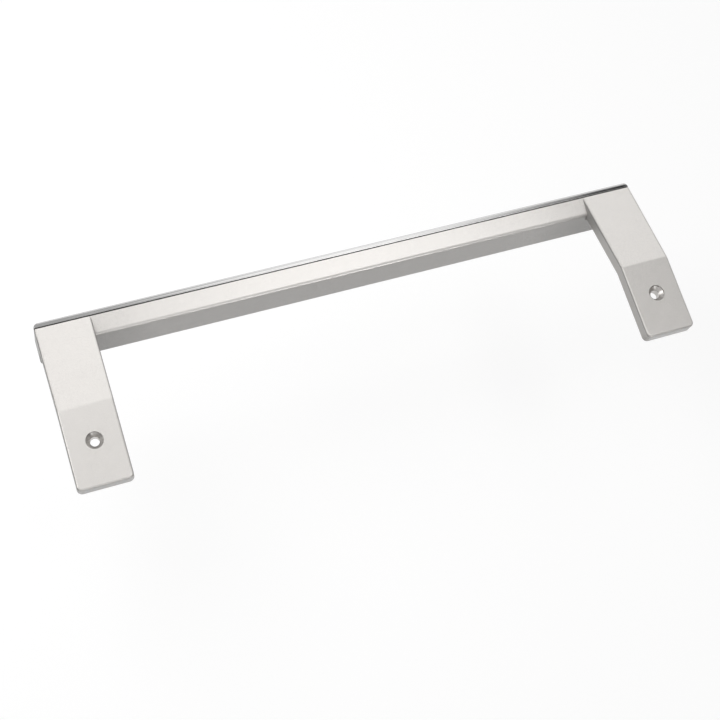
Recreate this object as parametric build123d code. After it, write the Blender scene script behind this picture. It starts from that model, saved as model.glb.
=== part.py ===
"""Side-mounted refrigerator door handle.

Two flat feet screw to the side edge of the door. Each foot bends forward into a leg,
and the grip bar that joins the legs stands in front of the door. A slim plated strip
fills a rebate along the outer front edge of the bar.

Frame: X runs along the bar, Y points forward from the door, and Z points out of the
door's side. The origin is midway between the two screw holes, on the mounting plane.
"""

from build123d import *

import math
import os

# Screw pattern, and the width of each leg level with the face of its foot
hole_spacing = 325.0
leg_width = 29.5

# Side profile of a leg, measured from the screw hole
foot_behind_hole = 24.0
foot_before_hole = 19.5
upper_length = 53.6
bend_angle = 15.0
plate = 7.4
bend_radius = 5.0
back_bend_radius = 1.5

# Section of the bar, measured back and down from the trim's parting line
ridge_back = 11.1
ridge_drop = 1.5
bar_back = 13.6
bar_depth = 22.5
ridge_radius = 2.2
root_radius = 3.0

# Edges and mould draft
draft_angle = 2.3
foot_corner = 2.6
rim_radius = 1.2
front_corner = 2.6
rear_corner = 1.8
bottom_radius = 1.4

# Screw holes, with a countersink sunk below the face
hole_radius = 2.55
head_radius = 4.65
head_land = 1.2

# Cored back of each foot
core_wall = 2.4
face_wall = 2.6
boss_wall = 1.6
rib = 1.6
core_corner = 1.5
core_draft = 1.0

# Plated trim strip, its tongue, and the fine shadow lines along its two joints
trim_width = 3.0
trim_depth = 7.0
trim_radius = 0.9
line_width = 0.6
line_depth = 1.6
tongue = 1.4
tongue_reach = 3.2
tongue_end = 12.0
tongue_gap = 0.1

# Sizes and places worked out from the ones above
leg_centre = hole_spacing / 2
length = hole_spacing + leg_width
bend = math.radians(bend_angle)
front_y = foot_before_hole + upper_length * math.cos(bend)
front_z = plate - upper_length * math.sin(bend)
back_crease = foot_before_hole - plate * math.tan(bend / 2)
rear_lean = (bar_back - ridge_back) / (bar_depth - ridge_drop)
below = bar_depth + bar_back - front_z
side = Plane.YZ


def on_bar(back, down):
    """Side-view place from its distances behind and under the trim's parting line."""
    return (front_y - back, front_z - down)


def on_leg(back, down):
    """Side-view place from its distances along and square to the leg's face."""
    y = front_y - back * math.cos(bend) - down * math.sin(bend)
    z = front_z + back * math.sin(bend) - down * math.cos(bend)
    return (y, z)


def bar_rear(down):
    """Side-view place on the bar's rear face at a depth under the parting line."""
    return on_bar(ridge_back + rear_lean * (down - ridge_drop), down)


def leg_root():
    """Side-view place where the leg's underside meets the bar's rear face."""
    under = plate / math.cos(bend)
    start = ridge_back - rear_lean * ridge_drop
    back = (start + rear_lean * under) / (1 + rear_lean * math.tan(bend))
    return bar_rear(under - back * math.tan(bend))


def rounded(view, place, radius):
    """Rounds the corner of a flat view that lies at a place."""
    corner = view.vertices().sort_by_distance(place)[0]
    return fillet(corner, radius)


def area(*places):
    """Flat area with straight edges between the places."""
    return make_face(Polyline(*places, close=True))


def along_bar(view, half):
    """Stands a side view up in the YZ plane and extrudes it both ways along X."""
    return extrude(side * view, half, both=True)


def drafted(plan):
    """Block under a plan outline, from the feet's faces down, that widens downwards."""
    return extrude(Plane.XY.offset(plate) * plan, -below, taper=-draft_angle)


def end_plan():
    """Plan outline that bounds the two ends of the bar."""
    return Rectangle(length, 4 * front_y)


def boundary(solid):
    """Edges round the outside of the faces that look out of the door's side."""
    outer = [face for face in solid.faces() if face.normal_at().Z > 0.9]
    edges = ShapeList(edge for face in outer for edge in face.edges())
    return ShapeList(edge for edge in edges if sum(edge.is_same(other) for other in edges) == 1)


def leg():
    """Left foot, bend and upper leg, with a rounded root under the bar."""
    crease = (foot_before_hole, plate)
    inner = (back_crease, 0)
    heel = -foot_behind_hole - plate
    view = area(
        (heel, 0),
        inner,
        leg_root(),
        bar_rear(bar_depth / 2),
        on_bar(0, bar_depth / 2),
        on_bar(0, 0),
        crease,
        (heel, plate),
    )
    view = rounded(view, crease, bend_radius)
    view = rounded(view, inner, back_bend_radius)
    view = rounded(view, leg_root(), root_radius)
    front = front_y + plate
    plan = Rectangle(leg_width, front + foot_behind_hole)
    plan = Pos(-leg_centre, (front - foot_behind_hole) / 2) * plan
    plan = fillet(plan.vertices().group_by(Axis.Y)[0], foot_corner)
    solid = along_bar(view, length) & drafted(plan)
    rim = boundary(solid).sort_by(Axis.Y)[:-1]
    return fillet(rim, rim_radius)


def bar_view():
    """Section of the bar, with its sloping top, rounded ridge and the trim's rebate."""
    ridge = on_bar(ridge_back, ridge_drop)
    view = area(
        on_bar(0, 0),
        ridge,
        bar_rear(bar_depth),
        on_bar(-trim_width, bar_depth),
        on_bar(-trim_width, trim_depth),
        on_bar(0, trim_depth),
    )
    return rounded(view, ridge, ridge_radius)


def bar_ends():
    """Part of the bar that runs on under both legs, with rounded corners at its ends."""
    inside_leg = area(
        on_leg(-2 * bar_depth, plate / 2),
        on_leg(2 * bar_depth, plate / 2),
        on_leg(2 * bar_depth, 3 * bar_depth),
        on_leg(-2 * bar_depth, 3 * bar_depth),
    )
    solid = along_bar(bar_view() & inside_leg, length) & drafted(end_plan())
    ends = [solid.faces().sort_by(Axis.X)[0], solid.faces().sort_by(Axis.X)[-1]]
    solid = fillet([end.edges().sort_by(Axis.Y)[-1] for end in ends], front_corner)
    ends = [solid.faces().sort_by(Axis.X)[0], solid.faces().sort_by(Axis.X)[-1]]
    solid = fillet([end.edges().filter_by(steep).sort_by(Axis.Y)[0] for end in ends], rear_corner)
    return fillet(solid.faces().sort_by(Axis.Z)[0].edges(), bottom_radius)


def steep(edge):
    """True for an edge that climbs more than it runs back."""
    box = edge.bounding_box()
    return box.size.Z > box.size.Y


def screw_hole():
    """Cutter for one screw hole: head land, countersink and shank hole."""
    sink = head_land + head_radius - hole_radius
    view = area(
        (0, plate + plate),
        (head_radius, plate + plate),
        (head_radius, plate - head_land),
        (hole_radius, plate - sink),
        (hole_radius, -plate),
        (0, -plate),
    )
    return revolve(Plane.XZ * view, Axis.Z)


def foot_core():
    """Cutter for the cored back of the left foot, which leaves a wall, a screw boss and four ribs."""
    near_end = core_wall - foot_behind_hole
    far_end = back_crease - core_wall
    plan = Rectangle(leg_width - 2 * core_wall, far_end - near_end)
    plan = Pos(0, (near_end + far_end) / 2) * plan
    plan = fillet(plan.vertices(), core_corner)
    plan -= Circle(head_radius + boss_wall)
    plan -= Rectangle(rib, 4 * leg_width)
    plan -= Rectangle(4 * leg_width, rib)
    return extrude(plan, plate - face_wall, taper=core_draft)


def left_cuts():
    """Everything that is cut from the left foot."""
    return Pos(-leg_centre, 0) * (foot_core() + screw_hole())


def handle_body():
    """The one-piece moulding: both legs, the grip bar, the holes and the joints of the trim."""
    body = leg() + mirror(leg(), Plane.YZ) + along_bar(bar_view(), leg_centre) + bar_ends()
    body -= left_cuts() + mirror(left_cuts(), Plane.YZ)
    return body - tongue_block(tongue_gap) - shadow_lines()


def tongue_block(gap):
    """The trim's tongue, or with a gap the groove that takes it."""
    middle = trim_depth / 2
    half = tongue / 2 + gap
    back = tongue_reach + gap
    view = area(
        on_bar(-trim_width / 2, middle - half),
        on_bar(back, middle - half),
        on_bar(back, middle + half),
        on_bar(-trim_width / 2, middle + half),
    )
    return along_bar(view, length / 2 - tongue_end + gap)


def shadow_lines():
    """Cutter for the fine grooves where the strip meets the bar's top and its front."""
    half = line_width / 2
    top = area(
        on_bar(half, -plate),
        on_bar(-half, -plate),
        on_bar(-half, line_depth),
        on_bar(half, line_depth),
    )
    front = area(
        on_bar(-2 * trim_width, trim_depth - half),
        on_bar(line_depth - trim_width, trim_depth - half),
        on_bar(line_depth - trim_width, trim_depth + half),
        on_bar(-2 * trim_width, trim_depth + half),
    )
    return along_bar(top, length) + along_bar(front, length)


def chrome_trim():
    """The plated strip, with rounded ends and a tongue along its back."""
    view = area(on_bar(-trim_width, 0), on_bar(0, 0), on_bar(0, trim_depth), on_bar(-trim_width, trim_depth))
    strip = along_bar(view, length) & drafted(end_plan())
    front = strip.faces().sort_by(Axis.Y)[-1]
    strip = fillet(front.edges().filter_by(Axis.X, reverse=True), front_corner)
    rim = boundary(strip)
    rim = rim - rim.filter_by(Axis.X).sort_by(Axis.Y)[:1]
    return fillet(rim, trim_radius) - shadow_lines() + tongue_block(0)


os.makedirs("parts", exist_ok=True)
export_step(handle_body(), "parts/handle_body.step")
export_step(chrome_trim(), "parts/chrome_trim.step")
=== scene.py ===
"""Looks of a side-mounted refrigerator door handle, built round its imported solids.

The moulded body keeps its solid and gets a satin silver paint. The plated trim strip is
made again as a finely stepped surface with a crowned face, because a mirror finish shows
every facet. X runs along the bar, Y points forward from the door, Z out of its side.
"""

import math

import bpy
import numpy as np
from bpy.props import FloatProperty, FloatVectorProperty, PointerProperty
from bpy.types import Operator, Panel, PropertyGroup
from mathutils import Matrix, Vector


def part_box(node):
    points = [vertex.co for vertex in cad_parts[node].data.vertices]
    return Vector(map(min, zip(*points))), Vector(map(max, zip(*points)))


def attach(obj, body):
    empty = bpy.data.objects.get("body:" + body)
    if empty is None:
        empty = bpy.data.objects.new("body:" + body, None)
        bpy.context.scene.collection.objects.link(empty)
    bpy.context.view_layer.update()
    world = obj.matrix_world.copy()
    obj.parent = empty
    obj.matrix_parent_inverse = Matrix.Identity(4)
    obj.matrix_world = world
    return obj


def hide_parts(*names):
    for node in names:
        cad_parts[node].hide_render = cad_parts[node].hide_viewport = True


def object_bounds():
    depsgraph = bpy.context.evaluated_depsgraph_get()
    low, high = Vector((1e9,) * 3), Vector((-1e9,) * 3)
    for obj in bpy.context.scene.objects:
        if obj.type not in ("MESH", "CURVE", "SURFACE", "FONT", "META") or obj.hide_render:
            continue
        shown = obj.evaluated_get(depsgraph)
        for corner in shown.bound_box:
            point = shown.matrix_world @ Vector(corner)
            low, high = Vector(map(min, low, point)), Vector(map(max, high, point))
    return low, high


bl_info = {
    "name": "Refrigerator Door Handle",
    "version": (1, 0, 0),
    "blender": (4, 5, 0),
    "location": "3D Viewport > Sidebar > Handle",
    "description": "Finishes, trim strip, studio and camera for a refrigerator door handle",
    "category": "Object",
}

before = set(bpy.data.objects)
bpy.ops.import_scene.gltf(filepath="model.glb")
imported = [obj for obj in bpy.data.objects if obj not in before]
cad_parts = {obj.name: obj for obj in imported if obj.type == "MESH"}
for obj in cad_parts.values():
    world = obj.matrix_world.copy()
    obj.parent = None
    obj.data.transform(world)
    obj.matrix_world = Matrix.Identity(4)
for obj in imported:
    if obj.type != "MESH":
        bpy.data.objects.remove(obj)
frame_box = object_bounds()
body_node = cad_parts["handle_body"]
trim_low, trim_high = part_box("chrome_trim")

MM = 0.001


class HandlePaint(PropertyGroup):
    """Colour and surface of the silver paint on the moulded body."""

    tint: FloatVectorProperty(
        name="Paint Colour",
        description="Colour of the silver paint",
        subtype="COLOR", size=3, min=0.0, max=1.0, default=(0.76, 0.735, 0.707))
    metal: FloatProperty(
        name="Metal Flake",
        description="How metallic the paint is",
        subtype="FACTOR", min=0.0, max=1.0, default=0.28)
    satin: FloatProperty(
        name="Satin",
        description="Roughness of the paint where it is untouched",
        subtype="FACTOR", min=0.0, max=1.0, default=0.28)
    peel_size: FloatProperty(
        name="Orange Peel Size",
        description="Distance between the low waves in the sprayed paint",
        subtype="DISTANCE", unit="LENGTH", min=0.0002, max=0.01, default=1.6 * MM)
    peel_height: FloatProperty(
        name="Orange Peel Height",
        description="Height of the low waves in the sprayed paint",
        subtype="DISTANCE", unit="LENGTH", min=0.0, max=0.001, default=0.004 * MM)
    flake_size: FloatProperty(
        name="Flake Size",
        description="Size of the grains of metal flake",
        subtype="DISTANCE", unit="LENGTH", min=0.00002, max=0.001, default=0.14 * MM)
    # Painted shade: the steep sides, the bar's rear face among them, are darkened as if less light reached
    # them
    steep_shade_tone: FloatProperty(
        name="Wall Tone",
        description="Tone of the thinner coat on the steep sides, against the tone of the faces",
        subtype="FACTOR", min=0.0, max=1.0, default=0.80)
    # Painted shade: the sides of the legs and the ends of the bar are darkened as if less light reached
    # them
    side_shade_tone: FloatProperty(
        name="Side Tone",
        description="Tone of the coat on the sides of the legs and the ends of the bar",
        subtype="FACTOR", min=0.0, max=1.0, default=0.64)
    # Painted shade: the paint beside the shadow line is darkened where shade falls into the groove
    groove_shade_tone: FloatProperty(
        name="Groove Tone",
        description="Tone of the paint and dust in the shadow line, against the tone of the faces",
        subtype="FACTOR", min=0.0, max=1.0, default=0.38)
    # Painted shade and painted dark reflection on the legs' long rims, darker on the outer ones
    inner_rim_shade_tone: FloatProperty(
        name="Inner Rim Tone",
        description="Tone of the thin coat on the rims of the legs that face each other",
        subtype="FACTOR", min=0.0, max=1.0, default=0.66)
    outer_rim_shade_tone: FloatProperty(
        name="Outer Rim Tone",
        description="Tone of the thin coat on the rims of the legs that face outwards",
        subtype="FACTOR", min=0.0, max=1.0, default=0.40)
    # Painted shade: the bar's faces and steep sides are darkened in the corners by the legs, where shade
    # falls
    face_corner_shade: FloatProperty(
        name="Dust on Faces",
        description="How much the dust in the bar's corners darkens its faces",
        subtype="FACTOR", min=0.0, max=1.0, default=0.10)
    wall_corner_shade: FloatProperty(
        name="Dust on Walls",
        description="How much the dust in the corners between bar and legs darkens the steep sides",
        subtype="FACTOR", min=0.0, max=1.0, default=0.30)


class ScrewSeats(PropertyGroup):
    """Place and size of the two screw holes, where the paint is worn off."""

    place: FloatProperty(
        name="Hole Distance",
        description="Distance of each screw hole from the middle of the bar",
        subtype="DISTANCE", unit="LENGTH", min=0.05, max=0.5, default=162.5 * MM)
    radius: FloatProperty(
        name="Head Radius",
        description="Radius of the recess for the screw head",
        subtype="DISTANCE", unit="LENGTH", min=0.001, max=0.02, default=4.65 * MM)
    tone: FloatProperty(
        name="Seat Tone",
        description="Tone of the bare seat, against the tone of the painted faces",
        subtype="FACTOR", min=0.0, max=1.0, default=0.80)
    metal: FloatProperty(
        name="Seat Metal",
        description="How metallic the bare seat looks",
        subtype="FACTOR", min=0.0, max=1.0, default=0.7)


class TrimShape(PropertyGroup):
    """Sizes of the plated trim strip. Its length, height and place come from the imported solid."""

    width: FloatProperty(
        name="Strip Width",
        description="Width of the strip, from the joint line to its front",
        subtype="DISTANCE", unit="LENGTH", min=0.001, max=0.01, default=3.0 * MM)
    corner: FloatProperty(
        name="End Corner",
        description="Radius of the strip's two front corners, seen from above",
        subtype="DISTANCE", unit="LENGTH", min=0.0002, max=0.01, default=2.6 * MM)
    rim: FloatProperty(
        name="Rim Radius",
        description="Radius of the rounded outer edge",
        subtype="DISTANCE", unit="LENGTH", min=0.0001, max=0.003, default=0.9 * MM)
    crown: FloatProperty(
        name="Crown",
        description="How far the face rises between its two long edges",
        subtype="DISTANCE", unit="LENGTH", min=0.0, max=0.001, default=0.07 * MM)
    line_width: FloatProperty(
        name="Line Width",
        description="Width of the shadow line beside the strip",
        subtype="DISTANCE", unit="LENGTH", min=0.0, max=0.002, default=0.6 * MM)
    line_depth: FloatProperty(
        name="Line Depth",
        description="Depth of the shadow line beside the strip",
        subtype="DISTANCE", unit="LENGTH", min=0.0, max=0.003, default=1.6 * MM)
    draft: FloatProperty(
        name="End Draft",
        description="Lean of the strip's two ends",
        subtype="ANGLE", unit="ROTATION", min=0.0, max=0.2, default=math.radians(2.3))
    tongue: FloatProperty(
        name="Tongue Thickness",
        description="Thickness of the tongue that holds the strip in the bar",
        subtype="DISTANCE", unit="LENGTH", min=0.0002, max=0.005, default=1.4 * MM)
    tongue_end: FloatProperty(
        name="Tongue End",
        description="How far the tongue stops short of each end of the strip",
        subtype="DISTANCE", unit="LENGTH", min=0.0, max=0.05, default=12.0 * MM)


class TrimPlating(PropertyGroup):
    """Colour and surface of the plated trim strip."""

    tint: FloatVectorProperty(
        name="Plating Colour",
        description="Colour of the bright plating",
        subtype="COLOR", size=3, min=0.0, max=1.0, default=(0.74, 0.735, 0.73))
    polish: FloatProperty(
        name="Roughness",
        description="Roughness of the plating",
        subtype="FACTOR", min=0.0, max=1.0, default=0.10)
    # Painted shade: the plating beside its two joints is darkened where shade falls into the grooves
    joint_shade_tone: FloatProperty(
        name="Joint Tone",
        description="Tone of the plating beside its two joints, against the tone of its face",
        subtype="FACTOR", min=0.0, max=1.0, default=0.5)
    # Painted dark reflection: the plating's rounded rim and front are darkened against its face
    front_shade_tone: FloatProperty(
        name="Front Tone",
        description="Tone of the plating on the rim and the front, against the tone of its face",
        subtype="FACTOR", min=0.0, max=1.0, default=0.68)


class HandleStudio(PropertyGroup):
    """Floor, lamp and camera."""

    floor_drop: FloatProperty(
        name="Floor Drop",
        description="Distance from the lowest point of the handle to the floor",
        subtype="DISTANCE", unit="LENGTH", min=0.0, max=1.0, default=0.12)
    lamp_distance: FloatProperty(
        name="Lamp Distance",
        description="Distance of the lamp from the middle of the screw holes",
        subtype="DISTANCE", unit="LENGTH", min=0.2, max=3.0, default=0.60)
    lamp_size: FloatProperty(
        name="Lamp Size",
        description="Side of the lamp's square",
        subtype="DISTANCE", unit="LENGTH", min=0.05, max=2.0, default=0.35)
    lamp_power: FloatProperty(
        name="Lamp Power",
        description="Power of the lamp",
        subtype="POWER", unit="POWER", min=0.0, max=50.0, default=2.0)
    camera_place: FloatVectorProperty(
        name="Camera Place",
        description="Where the camera stands",
        subtype="TRANSLATION", unit="LENGTH", size=3, default=(-0.18244, -0.16985, 0.67762))
    camera_turn: FloatVectorProperty(
        name="Camera Turn",
        description="Which way the camera looks",
        subtype="EULER", unit="ROTATION", size=3, default=(0.310846, -0.155744, -0.309438))
    camera_lens: FloatProperty(
        name="Lens",
        description="Focal length on a sensor 36 mm wide",
        min=20.0, max=200.0, default=65.894)


class Nodes:
    """Short way to add shader nodes and join them."""

    def __init__(self, tree):
        self.tree = tree
        tree.nodes.clear()

    def add(self, kind, inputs=None, **settings):
        """Adds a node, sets its properties, and fills or links its inputs by name or number."""
        node = self.tree.nodes.new(kind)
        for key, value in settings.items():
            setattr(node, key, value)
        for key, value in (inputs or {}).items():
            if isinstance(value, bpy.types.NodeSocket):
                self.tree.links.new(value, node.inputs[key])
            else:
                node.inputs[key].default_value = value
        return node

    def math(self, operation, a, b=0.0):
        """Output of a Math node."""
        return self.add("ShaderNodeMath", {0: a, 1: b}, operation=operation).outputs[0]

    def product(self, first, *others):
        """Product of two or more numbers."""
        for other in others:
            first = self.math("MULTIPLY", first, other)
        return first

    def parts(self, vector):
        """X, Y and Z outputs of a vector."""
        return self.add("ShaderNodeSeparateXYZ", {0: vector}).outputs

    def dot(self, vector, other):
        """Dot product of two vectors."""
        node = self.add("ShaderNodeVectorMath", {0: vector, 1: other}, operation="DOT_PRODUCT")
        return node.outputs["Value"]

    def noise(self, place, size, detail=2.0, rough=0.5):
        """Noise output whose features are about the given size in metres."""
        inputs = {"Vector": place, "Scale": 1.0 / size, "Detail": detail, "Roughness": rough}
        return self.add("ShaderNodeTexNoise", inputs).outputs["Fac"]

    def span(self, value, low, high, start=0.0, end=1.0, curve="LINEAR"):
        """Maps a value from low to high onto start to end, with no overshoot."""
        inputs = {"Value": value, "From Min": low, "From Max": high, "To Min": start, "To Max": end}
        ramp = self.add("ShaderNodeMapRange", inputs, clamp=True, interpolation_type=curve)
        return ramp.outputs["Result"]

    def ease(self, value, low, high, start, end):
        """Maps a value as span does, but along an S-shaped curve."""
        return self.span(value, low, high, start, end, "SMOOTHSTEP")

    def vary(self, noise, start, end, reach=0.2):
        """Spreads a noise over start to end, from 0.5 less the reach to 0.5 plus the reach."""
        return self.span(noise, 0.5 - reach, 0.5 + reach, start, end)

    def mix(self, factor, first, second):
        """Mix of two numbers."""
        inputs = {"Factor": factor, 2: first, 3: second}
        return self.add("ShaderNodeMix", inputs, data_type="FLOAT").outputs[0]

    def shaded(self, colour, tone):
        """Colour made lighter or darker by a tone."""
        return self.add("ShaderNodeVectorMath", {0: colour, "Scale": tone}, operation="SCALE").outputs[0]

    def blend(self, factor, first, second):
        """Mix of two colours."""
        inputs = {"Factor": factor, 6: first, 7: second}
        return self.add("ShaderNodeMix", inputs, data_type="RGBA").outputs[2]

    def bump(self, height, distance, **below):
        """Normal of a surface raised by a height from 0 to 1, over the normal below if there is one."""
        inputs = {"Height": height, "Distance": distance, "Strength": 1.0, **below}
        return self.add("ShaderNodeBump", inputs).outputs[0]


def opaque(colour, gain=1.0):
    """Four-number colour from a three-number one, brightened or darkened."""
    return [min(1.0, channel * gain) for channel in colour] + [1.0]


def grey(level):
    """Four-number colour of a grey."""
    return opaque((level, level, level))


def new_material(name):
    """Empty node material and its helper."""
    material = bpy.data.materials.new(name)
    material.use_nodes = True
    return material, Nodes(material.node_tree)


# How far the shade beside a joint reaches, as a share of the shadow line's width
SHADE_REACH = 0.68


def joint_shade(nodes, spot, shape, towards_strip, tone):
    """Tone factor of painted shade that darkens the two joints between strip and bar, a little wider than
    their grooves.

    The upper joint is a band along Y about the strip's rear, the lower one a band along Z
    about its foot. Each piece darkens the part of the band on its own side.
    """
    spread = SHADE_REACH * shape.line_width
    rear = trim_high.y - shape.width
    if towards_strip:
        upper = nodes.math("LESS_THAN", spot["Y"], rear + spread)
        lower = nodes.math("LESS_THAN", spot["Z"], trim_low.z + spread)
        inside = nodes.math("MAXIMUM", upper, lower)
    else:
        upper = nodes.math("GREATER_THAN", spot["Y"], rear - spread)
        lower = nodes.math("GREATER_THAN", spot["Z"], trim_low.z - spread)
        inside = nodes.math("MULTIPLY", upper, lower)
    return nodes.span(inside, 0.0, 1.0, 1.0, tone)


# How far past the recess's radius its bare wall is still taken as bare
SEAT_MARGIN = 0.03 * MM


def screw_seats(nodes, spot, seat):
    """One inside the two screw holes and nothing outside, from the distance to their axes."""
    across = nodes.math("SUBTRACT", nodes.math("ABSOLUTE", spot["X"]), seat.place)
    squares = nodes.math("ADD", nodes.product(across, across), nodes.product(spot["Y"], spot["Y"]))
    return nodes.math("LESS_THAN", nodes.math("SQRT", squares), seat.radius + SEAT_MARGIN)


# Where the painted shade in the bar's corners begins and where it is full, off the bar's middle and
# forward of the screw holes, and how far off the middle the legs' inner walls stand
CORNER_SHADE_ASIDE = (112 * MM, 147 * MM)
CORNER_SHADE_FORWARD = (38 * MM, 58 * MM)
LEG_INSIDE = 148 * MM


def corner_shade(nodes, spot, off_middle, steep, paint):
    """Share of light that painted shade takes away near the bar's two ends, in the corners by the legs,
    most on the steep sides.
    """
    near = nodes.product(nodes.span(off_middle, *CORNER_SHADE_ASIDE), nodes.span(spot["Y"], *CORNER_SHADE_FORWARD))
    between_legs = nodes.math("LESS_THAN", off_middle, LEG_INSIDE)
    amount = nodes.math(
        "MAXIMUM", nodes.product(between_legs, paint.face_corner_shade), nodes.product(steep, paint.wall_corner_shade))
    return nodes.product(near, amount)


# How far up a long rim faces at its foot and at its head, and where a leg's inner half gives
# way to its outer half
RIM_FOOT = (0.05, 0.20)
RIM_HEAD = (0.66, 0.84)
OUTER_HALF = (150 * MM, 166 * MM)


def rim_shade_loss(nodes, facing, off_middle, sideways, paint):
    """Share of light that painted shade takes away on the legs' long rims, a painted dark reflection, more
    on the outer ones.
    """
    foot = nodes.span(facing["Z"], *RIM_FOOT)
    head = nodes.span(facing["Z"], *RIM_HEAD, 1.0, 0.0)
    rim = nodes.math("MINIMUM", foot, head)
    darkened = nodes.span(off_middle, *OUTER_HALF, 1.0 - paint.inner_rim_shade_tone, 1.0 - paint.outer_rim_shade_tone)
    return nodes.product(darkened, rim, sideways)


# How far up a surface faces where it counts as steep, and how far sideways as a side
STEEP_RANGE = (0.25, 0.75)
SIDE_RANGE = (0.55, 0.80)

# Grain of the paint: size of its clouds, share of flakes against clouds, darkest and lightest
# tone, and height on the faces and on the sides
CLOUD_SIZE = 30 * MM
FLAKE_SHARE = 0.85
DARK_GRAIN, LIGHT_GRAIN = 0.965, 1.03
FACE_GRAIN, SIDE_GRAIN = 0.002 * MM, 0.02 * MM

# Clear lacquer over the paint
LACQUER, LACQUER_ROUGHNESS = 0.2, 0.1

# Changes of roughness with the clouds, the flakes, the sides' dry spray and the bare seats
CLOUD_ROUGHNESS = 0.01
FLAKE_ROUGHNESS = 0.04
SIDE_ROUGHNESS = 0.18
SEAT_GLOSS = 0.10


def silver_paint(paint, shape, seat):
    """Satin silver paint: flakes, faint clouding, orange peel, painted shade on the steep sides, the legs'
    sides and rims, in the bar's corners and beside the joints, bare seats.
    """
    material, nodes = new_material("silver_paint")
    where = nodes.add("ShaderNodeTexCoord").outputs
    place = where["Object"]
    facing = nodes.parts(where["Normal"])
    spot = nodes.parts(place)
    off_middle = nodes.math("ABSOLUTE", spot["X"])
    bare = screw_seats(nodes, spot, seat)
    steep = nodes.span(facing["Z"], *STEEP_RANGE, 1.0, 0.0)
    sideways = nodes.span(nodes.math("ABSOLUTE", facing["X"]), *SIDE_RANGE)

    flakes = nodes.noise(place, paint.flake_size, 1.0)
    clouds = nodes.noise(place, CLOUD_SIZE, 3.0)
    grain = nodes.math(
        "ADD", nodes.vary(flakes, 0.0, FLAKE_SHARE), nodes.vary(clouds, 0.0, 1.0 - FLAKE_SHARE))
    colour = nodes.blend(grain, opaque(paint.tint, DARK_GRAIN), opaque(paint.tint, LIGHT_GRAIN))
    # Painted shade on the steep sides
    wall = nodes.span(steep, 0.0, 1.0, 1.0, paint.steep_shade_tone)
    # Painted shade on the sides of the legs and the ends of the bar
    side = nodes.span(sideways, 0.0, 1.0, 1.0, paint.side_shade_tone / paint.steep_shade_tone)
    # Painted shade and painted dark reflection on the legs' long rims
    rims = nodes.math("SUBTRACT", 1.0, rim_shade_loss(nodes, facing, off_middle, sideways, paint))
    # Painted shade in the corners between bar and legs
    corner_unshaded = nodes.math("SUBTRACT", 1.0, corner_shade(nodes, spot, off_middle, steep, paint))
    joint = joint_shade(nodes, spot, shape, False, paint.groove_shade_tone)
    # All five tones above are painted shade, multiplied into the paint's colour
    painted_shade = nodes.product(wall, side, joint, rims, corner_unshaded)
    colour = nodes.shaded(colour, nodes.mix(bare, painted_shade, seat.tone))

    rough = nodes.math("ADD", nodes.vary(clouds, -CLOUD_ROUGHNESS, CLOUD_ROUGHNESS), paint.satin)
    rough = nodes.math("ADD", nodes.vary(flakes, -FLAKE_ROUGHNESS, FLAKE_ROUGHNESS), rough)
    rough = nodes.math("ADD", nodes.span(sideways, 0.0, 1.0, 0.0, SIDE_ROUGHNESS), rough)
    rough = nodes.math("SUBTRACT", rough, nodes.product(bare, SEAT_GLOSS))
    peel = nodes.noise(place, paint.peel_size, 2.0, 0.4)
    waves = nodes.bump(peel, paint.peel_height)
    grit = nodes.bump(flakes, nodes.span(sideways, 0.0, 1.0, FACE_GRAIN, SIDE_GRAIN), Normal=waves)
    shader = nodes.add("ShaderNodeBsdfPrincipled", {
        "Base Color": colour, "Metallic": nodes.span(bare, 0.0, 1.0, paint.metal, seat.metal),
        "Roughness": rough, "Normal": grit, "Coat Weight": LACQUER,
        "Coat Roughness": LACQUER_ROUGHNESS})
    nodes.add("ShaderNodeOutputMaterial", {"Surface": shader.outputs[0]})
    return material


# Faint waves and smears of the plating, and how far up its front and its face are turned for its painted
# dark reflection
WAVE_SIZE, WAVE_HEIGHT = 9 * MM, 0.01 * MM
SMEAR_SIZE, SMEAR_TONE = 14 * MM, 0.98
SMEAR_ROUGHNESS = (-0.03, 0.04)
FRONT_TO_FACE = (0.55, 0.93)


def bright_plating(plating, shape):
    """Bright plating over moulded plastic: a mirror with faint waves and faint smears, with painted shade
    beside its joints and a painted dark reflection on its rim and front.
    """
    material, nodes = new_material("trim_plating")
    where = nodes.add("ShaderNodeTexCoord").outputs
    place = where["Object"]
    facing = nodes.parts(where["Normal"])
    smears = nodes.noise(place, SMEAR_SIZE, 4.0, 0.6)
    rough = nodes.math("ADD", nodes.vary(smears, *SMEAR_ROUGHNESS, 0.15), plating.polish)
    colour = nodes.blend(smears, opaque(plating.tint, SMEAR_TONE), opaque(plating.tint))
    joint = joint_shade(nodes, nodes.parts(place), shape, True, plating.joint_shade_tone)
    # Painted dark reflection on the plating's rim and front
    front = nodes.span(facing["Z"], *FRONT_TO_FACE, plating.front_shade_tone, 1.0)
    waves = nodes.bump(nodes.noise(place, WAVE_SIZE, 2.0), WAVE_HEIGHT)
    shader = nodes.add("ShaderNodeBsdfPrincipled", {
        "Base Color": nodes.shaded(colour, nodes.product(joint, front)), "Metallic": 1.0,
        "Roughness": rough, "Normal": waves})
    nodes.add("ShaderNodeOutputMaterial", {"Surface": shader.outputs[0]})
    return material


def dress(piece, material):
    """Puts one material on every slot of a piece."""
    if not piece.material_slots:
        piece.data.materials.append(material)
    for slot in piece.material_slots:
        slot.material = material


class HANDLE_OT_paint_body(Operator):
    """Gives the moulded body its silver paint"""

    bl_idname = "handle.paint_body"
    bl_label = "Paint Body"

    def execute(self, context):
        scene = context.scene
        dress(body_node, silver_paint(scene.handle_paint, scene.handle_trim, scene.handle_seats))
        return {"FINISHED"}


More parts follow.
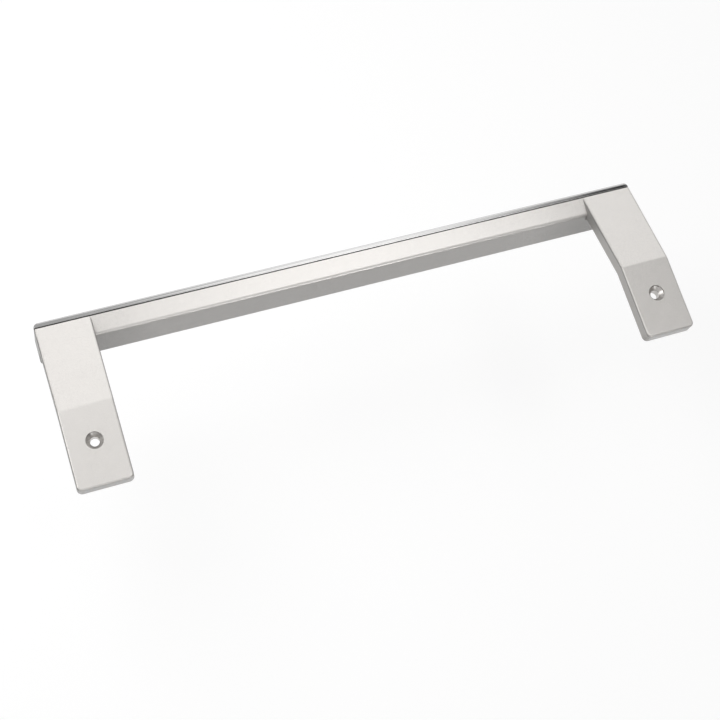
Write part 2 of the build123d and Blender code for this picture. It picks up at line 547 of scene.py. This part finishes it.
def new_piece(name, points, faces, soft_angle):
    """Mesh object at the origin whose edges look round up to an angle."""
    mesh = bpy.data.meshes.new(name)
    mesh.from_pydata(points.tolist(), [], faces.tolist())
    mesh.polygons.foreach_set("use_smooth", np.ones(len(faces), bool))
    mesh.set_sharp_from_angle(angle=soft_angle)
    mesh.update()
    piece = bpy.data.objects.new(name, mesh)
    bpy.context.scene.collection.objects.link(piece)
    return piece


def grid_faces(rows, columns):
    """Four-sided faces of a grid whose rows close on themselves and whose columns don't."""
    row, column = np.meshgrid(np.arange(rows), np.arange(columns - 1), indexing="ij")
    below = (row + 1) % rows
    here, under = row * columns + column, below * columns + column
    return np.stack((here, here + 1, under + 1, under), -1).reshape(-1, 4)


# Points along the strip's ends, round its front corners and along its front, and across its section
END_POINTS = 3
CORNER_POINTS = 15
FRONT_POINTS = 61
FACE_POINTS = 13
RIM_POINTS = 12
WALL_POINTS = 4

# Smallest step, from the shadow line's floor to its wall, and the angle up to which edges look round
HAIR = 1e-7
SOFT_ANGLE = math.radians(30.0)


def strip_outline(half, rear, shape):
    """Outline of the strip from above, from one rear corner round the front to the other.

    Each point comes with its inward direction. The ends are straight, the front corners are
    quarter circles, and the front is straight, with its points closer together near the ends.
    """
    front = rear + shape.width
    turn = np.linspace(0.0, math.pi / 2, CORNER_POINTS)
    end = np.linspace(rear, front - shape.corner, END_POINTS + 1)[:-1]
    along = (half - shape.corner) * np.sin(np.linspace(0.0, math.pi / 2, FRONT_POINTS))[1:-1]
    corner_x = shape.corner - half - shape.corner * np.cos(turn)
    corner_y = front - shape.corner + shape.corner * np.sin(turn)
    left_x = np.concatenate([np.full(END_POINTS, -half), corner_x, -along[::-1]])
    left_y = np.concatenate([end, corner_y, np.full(len(along), front)])
    inward_x = np.concatenate([np.ones(END_POINTS), np.cos(turn), np.zeros(len(along))])
    inward_y = -np.sqrt(1.0 - inward_x ** 2)
    x = np.concatenate([left_x, [0.0], -left_x[::-1]])
    y = np.concatenate([left_y, [front], left_y[::-1]])
    inward = np.stack([np.concatenate([inward_x, [0.0], -inward_x[::-1]]),
                       np.concatenate([inward_y, [-1.0], inward_y[::-1]])])
    return x, y, inward


def strip_section(height, shape):
    """Closed section of the strip, as inset, share of the way back to the rear, and depth.

    The face is a low arch, a parabola across the width. A quarter circle turns it into the
    front wall. The wall ends in the lower shadow line, and the rear wall steps forward at the
    top for the upper one.
    """
    across = np.linspace(1.0, 0.0, FACE_POINTS)
    face = np.stack([np.full(FACE_POINTS, shape.rim), across, shape.crown * (2.0 * across - 1.0) ** 2], -1)
    turn = np.linspace(0.0, math.pi / 2, RIM_POINTS + 1)[1:]
    round_edge = np.stack([shape.rim * (1.0 - np.sin(turn)), np.zeros(RIM_POINTS),
                           shape.crown + shape.rim * (1.0 - np.cos(turn))], -1)
    wall_top = shape.crown + shape.rim
    wall_end = height - shape.line_width / 2
    depths = np.linspace(wall_top, wall_end, WALL_POINTS + 1)[1:]
    wall = np.array([[0.0, 0.0, depth] for depth in depths])
    foot = np.array([[-1.0, 0.0, wall_end], [-1.0, 0.0, height], [0.0, 1.0, height]])
    just_above = shape.line_depth - HAIR
    depth = np.array([height * 0.5, shape.line_depth, just_above, shape.crown + shape.rim * 0.5])
    rise = np.clip((wall_top - depth) / shape.rim, 0.0, 1.0)
    rear = np.stack([shape.rim * (1.0 - np.sqrt(1.0 - rise ** 2)), np.ones(len(depth)), depth], -1)
    return np.concatenate([face, round_edge, wall, foot, rear])


def trim_strip(low, high, shape):
    """Plated strip: its section carried round the outline of its front and ends.

    A point sits at its outline point, moved inwards by the section's inset and back to the
    rear line by the section's share. The ends lean out by the draft as the depth grows, and
    nothing above the shadow line's floor goes further back than the line's front.
    """
    height = high.z - low.z
    lean = math.tan(shape.draft)
    half = high.x - height * lean
    rear = high.y - shape.width
    x, y, inward = strip_outline(half, rear, shape)
    inset, back, depth = strip_section(height, shape).T[:, :, None]
    step = np.where(inset < 0.0, shape.line_depth * inward[1] ** 2, inset)
    place_x = (x + inward[0] * step) * (1.0 + depth * lean / half)
    place_y = y + inward[1] * step
    place_y = place_y + (rear - place_y) * back
    floor = np.where(depth < shape.line_depth, rear + shape.line_width / 2, rear)
    place_y = np.maximum(place_y, floor)
    place_z = np.broadcast_to(high.z - depth, place_x.shape)
    points = np.stack([place_x, place_y, place_z], -1).reshape(-1, 3)
    return points, grid_faces(*place_x.shape)


def block(low, high):
    """Corners and outward faces of a block between its lowest and highest corners."""
    corner = np.array([[i, j, k] for i in (0, 1) for j in (0, 1) for k in (0, 1)], float)
    points = np.array(low) + corner * (np.array(high) - np.array(low))
    faces = np.array([(0, 1, 3, 2), (4, 6, 7, 5), (0, 4, 5, 1), (2, 3, 7, 6), (0, 2, 6, 4), (1, 5, 7, 3)])
    return points, faces


class HANDLE_OT_make_trim(Operator):
    """Makes the plated trim strip with its tongue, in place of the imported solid"""

    bl_idname = "handle.make_trim"
    bl_label = "Make Trim Strip"

    def execute(self, context):
        shape = context.scene.handle_trim
        points, faces = trim_strip(trim_low, trim_high, shape)
        half = trim_high.x - shape.tongue_end
        rear = trim_high.y - shape.width
        middle = (trim_low.z + trim_high.z) / 2
        tongue_points, tongue_faces = block(
            (-half, trim_low.y, middle - shape.tongue / 2), (half, rear, middle + shape.tongue / 2))
        piece = new_piece(
            "trim_strip", np.concatenate([points, tongue_points]),
            np.concatenate([faces, tongue_faces + len(points)]), SOFT_ANGLE)
        dress(piece, bright_plating(context.scene.handle_plating, shape))
        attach(piece, "root")
        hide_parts("chrome_trim")
        return {"FINISHED"}


def unit(*vector):
    """Vector of length one."""
    return tuple(np.array(vector) / np.linalg.norm(vector))


def seen_directly(nodes, path):
    """One for what camera, metal and glass see, nothing for the light that falls on the handle."""
    seen = nodes.math("MAXIMUM", path["Is Camera Ray"], path["Is Glossy Ray"])
    return nodes.math("MAXIMUM", seen, path["Is Transmission Ray"])


# The floor: its plain grey as a light source, its grey and glow as seen, and how a reflection
# of it fades from one distance to another
FLOOR_GREY = 0.22
FLOOR_SEEN_GREY = 0.24
FLOOR_GLOW = 0.80
FADE_REACH = (0.32, 0.80)
FADED_GLOW = 0.22


def floor_material():
    """White floor that camera, glass and metal all see, with the handle's soft shadow kept.

    In reflections its glow fades away from the handle, as on a table of limited size.
    """
    material, nodes = new_material("studio_floor")
    path = nodes.add("ShaderNodeLightPath").outputs
    plain = nodes.add("ShaderNodeBsdfDiffuse", {"Color": grey(FLOOR_GREY)})
    soft = nodes.add("ShaderNodeBsdfDiffuse", {"Color": grey(FLOOR_SEEN_GREY)})
    place = nodes.add("ShaderNodeTexCoord").outputs["Object"]
    reach = nodes.add("ShaderNodeVectorMath", {0: place}, operation="LENGTH").outputs["Value"]
    faded = nodes.span(reach, *FADE_REACH, FLOOR_GLOW, FADED_GLOW)
    strength = nodes.mix(path["Is Glossy Ray"], FLOOR_GLOW, faded)
    glow = nodes.add("ShaderNodeEmission", {"Color": grey(1.0), "Strength": strength})
    lit = nodes.add("ShaderNodeAddShader", {0: soft.outputs[0], 1: glow.outputs[0]})
    surface = nodes.add(
        "ShaderNodeMixShader", {0: seen_directly(nodes, path), 1: plain.outputs[0], 2: lit.outputs[0]})
    nodes.add("ShaderNodeOutputMaterial", {"Surface": surface.outputs[0]})
    return material


def patch(nodes, direction, towards, core, edge, gain):
    """Soft round patch of light: full within the core angle of its middle, nothing past the edge."""
    near = nodes.dot(direction, unit(*towards))
    return nodes.ease(near, math.cos(math.radians(edge)), math.cos(math.radians(core)), 0.0, gain)


# Patches of light in the room: direction, full angle and edge angle in degrees, and strength,
# which is below nothing where a dark card takes light away
ROOM_LIGHTS = (
    ((0.26, -0.02, 0.97), 3.0, 12.0, 3.2),
    ((0.25, 0.36, 0.90), 2.0, 12.0, 0.8),
    ((0.34, 0.79, 0.51), 8.0, 32.0, 0.75),
    ((0.52, 0.30, 0.80), 5.0, 17.0, -0.45),
    ((-0.84, 0.18, 0.50), 6.0, 20.0, 2.6),
    ((0.15, -0.84, 0.44), 4.0, 18.0, 0.8),
)

# A broad patch from the right that gloss doesn't see, and a low one from behind that only gloss sees
SIDE_LIGHT = ((0.95, -0.10, 0.26), 10.0, 42.0, 0.9)
RIDGE_LIGHT = ((0.24, -0.97, 0.05), 3.0, 8.5, 9.0)

# The walls' white, up to one height, and the ceiling's grey, from another
WALL_LEVEL, WALL_TOP = 0.92, math.sin(math.radians(18.0))
CEILING_LEVEL, CEILING_START = 0.46, math.sin(math.radians(45.0))

# The even light: the direction it is strongest from, its range towards that, and its strength
FILL_TOWARDS = (-0.25, 0.50, 0.83)
FILL_RANGE = (-0.2, 1.0)
FILL_STRENGTH = (0.13, 0.30)

# Dark screens round the room: their soft upper edge, their tone, and how much they rise towards
# the right
SCREEN_EDGE = (0.17, 0.5)
SCREEN_TONE = 0.15
RIGHT_SIDE = (0.40, 0.75)
RIGHT_RAISE = 0.40

# The lighter gap between them: where its right and left sides run, and its tones in the middle,
# past its right side and past its left side
GAP_RIGHT, GAP_LEFT = (0.25, 0.50), (-0.75, -0.45)
GAP_TONE, GAP_RIGHT_TONE, GAP_LEFT_TONE = 0.75, 0.0, 0.2


def screen_tones(nodes, across, height):
    """Tone of the walls in reflections: dark low down at the two sides, higher up on the right."""
    above = nodes.math("SUBTRACT", height, nodes.span(across, *RIGHT_SIDE, 0.0, RIGHT_RAISE))
    screens = nodes.span(above, *SCREEN_EDGE, SCREEN_TONE, 1.0)
    gap = nodes.math(
        "MINIMUM", nodes.span(across, *GAP_RIGHT, GAP_TONE, GAP_RIGHT_TONE),
        nodes.span(across, *GAP_LEFT, GAP_LEFT_TONE, GAP_TONE))
    return nodes.math("MAXIMUM", screens, gap)


def studio_world(world):
    """Room of soft light: white at the horizon, grey overhead, with soft patches of light."""
    world.use_nodes = True
    nodes = Nodes(world.node_tree)
    direction = nodes.add("ShaderNodeTexCoord").outputs["Generated"]
    part = nodes.parts(direction)
    path = nodes.add("ShaderNodeLightPath").outputs
    walls = nodes.ease(part["Z"], WALL_TOP, CEILING_START, WALL_LEVEL, CEILING_LEVEL)
    screens = nodes.math("MAXIMUM", screen_tones(nodes, part["X"], part["Z"]), path["Is Camera Ray"])
    fill = nodes.span(nodes.dot(direction, unit(*FILL_TOWARDS)), *FILL_RANGE, *FILL_STRENGTH)
    fill = nodes.math("ADD", fill, patch(nodes, direction, *SIDE_LIGHT))
    room = nodes.mix(seen_directly(nodes, path), fill, nodes.product(walls, screens))
    ridge = nodes.product(patch(nodes, direction, *RIDGE_LIGHT), path["Is Glossy Ray"])
    room = nodes.math("ADD", room, ridge)
    for light in ROOM_LIGHTS:
        room = nodes.math("ADD", room, patch(nodes, direction, *light))
    background = nodes.add("ShaderNodeBackground", {"Color": grey(1.0), "Strength": room})
    nodes.add("ShaderNodeOutputWorld", {"Surface": background.outputs[0]})


# Direction of the lamp from the screw holes
LAMP_TOWARDS = (-0.50, 0.45, 0.80)


def soft_lamp(studio):
    """Square lamp that faces the origin, and that neither camera nor gloss sees."""
    data = bpy.data.lights.new("key_lamp", "AREA")
    data.shape = "SQUARE"
    data.size = studio.lamp_size
    data.energy = studio.lamp_power
    lamp = bpy.data.objects.new("key_lamp", data)
    bpy.context.scene.collection.objects.link(lamp)
    lamp.location = np.array(unit(*LAMP_TOWARDS)) * studio.lamp_distance
    lamp.rotation_euler = lamp.location.to_track_quat("Z", "Y").to_euler()
    lamp.visible_glossy = False
    lamp.visible_camera = False


# Half of the floor's side in metres
FLOOR_HALF = 6.0


class HANDLE_OT_set_stage(Operator):
    """Lays the floor and sets the lamp and the room's light"""

    bl_idname = "handle.set_stage"
    bl_label = "Set Stage"

    def execute(self, context):
        studio = context.scene.handle_studio
        level = frame_box[0].z - studio.floor_drop
        half = FLOOR_HALF
        corners = [(-half, -half, level), (half, -half, level), (half, half, level), (-half, half, level)]
        mesh = bpy.data.meshes.new("studio_floor")
        mesh.from_pydata(corners, [], [(0, 1, 2, 3)])
        floor = bpy.data.objects.new("studio_floor", mesh)
        context.scene.collection.objects.link(floor)
        dress(floor, floor_material())
        world = bpy.data.worlds.new("studio_world")
        studio_world(world)
        context.scene.world = world
        soft_lamp(studio)
        context.scene.view_settings.view_transform = "Standard"
        return {"FINISHED"}


# Width in millimetres of the sensor that the lens is stated for
SENSOR_WIDTH = 36.0


class HANDLE_OT_place_camera(Operator):
    """Places the camera at the catalogue view of the handle"""

    bl_idname = "handle.place_camera"
    bl_label = "Place Camera"

    def execute(self, context):
        studio = context.scene.handle_studio
        data = bpy.data.cameras.new("handle_camera")
        data.sensor_width = SENSOR_WIDTH
        data.lens = studio.camera_lens
        camera = bpy.data.objects.new("handle_camera", data)
        camera.location = studio.camera_place
        camera.rotation_euler = studio.camera_turn
        context.scene.collection.objects.link(camera)
        context.scene.camera = camera
        return {"FINISHED"}


OPERATORS = (HANDLE_OT_paint_body, HANDLE_OT_make_trim, HANDLE_OT_set_stage, HANDLE_OT_place_camera)
GROUPS = {
    "handle_paint": HandlePaint,
    "handle_seats": ScrewSeats,
    "handle_trim": TrimShape,
    "handle_plating": TrimPlating,
    "handle_studio": HandleStudio,
}


class HANDLE_PT_panel(Panel):
    """Sizes, colours and steps of the door handle"""

    bl_idname = "HANDLE_PT_panel"
    bl_label = "Door Handle"
    bl_space_type = "VIEW_3D"
    bl_region_type = "UI"
    bl_category = "Handle"

    def draw(self, context):
        for name, group in GROUPS.items():
            box = self.layout.box()
            for key in group.__annotations__:
                box.prop(getattr(context.scene, name), key)
        for operator in OPERATORS:
            self.layout.operator(operator.bl_idname)


def register():
    """Registers the classes and hangs the settings on the scene."""
    for cls in (*GROUPS.values(), *OPERATORS, HANDLE_PT_panel):
        bpy.utils.register_class(cls)
    for name, group in GROUPS.items():
        setattr(bpy.types.Scene, name, PointerProperty(type=group))


def unregister():
    """Takes the settings and the classes away again."""
    for name in GROUPS:
        delattr(bpy.types.Scene, name)
    for cls in (HANDLE_PT_panel, *reversed(OPERATORS), *GROUPS.values()):
        bpy.utils.unregister_class(cls)


def main():
    """Runs every step in order."""
    register()
    for operator in OPERATORS:
        space, name = operator.bl_idname.split(".")
        getattr(getattr(bpy.ops, space), name)()


if __name__ == "__main__":
    main()
